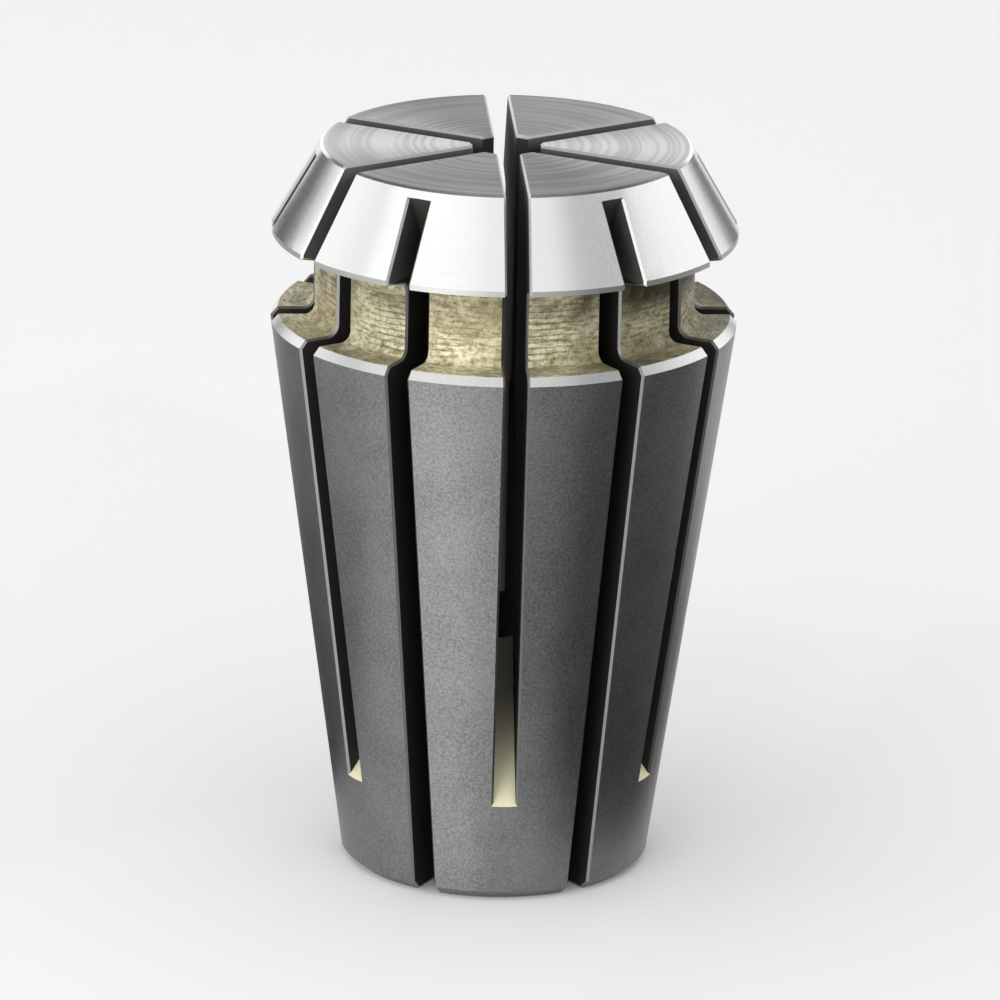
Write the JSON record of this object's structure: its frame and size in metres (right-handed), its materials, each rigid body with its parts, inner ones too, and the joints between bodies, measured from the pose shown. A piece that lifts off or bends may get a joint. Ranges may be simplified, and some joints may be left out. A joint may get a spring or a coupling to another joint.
{
  "type": "er collet",
  "caption": "Slotted spring collet with a tapered body, an extraction groove, a front cone and a small clamping bore.",
  "frame": {"origin": "centre of the small back face", "axes": "+Z along the bore axis, towards the front face with the 30 degree cone; -Y through a slot that is sawn from the front"},
  "size_m": [0.0168, 0.0168, 0.027],
  "materials": {
    "spring_steel": "ground bright on the taper and the front cone, oiled and unground brown-gold in the groove"
  },
  "bodies": {
    "root": {"collet": "spring_steel"}
  },
  "joints": []
}
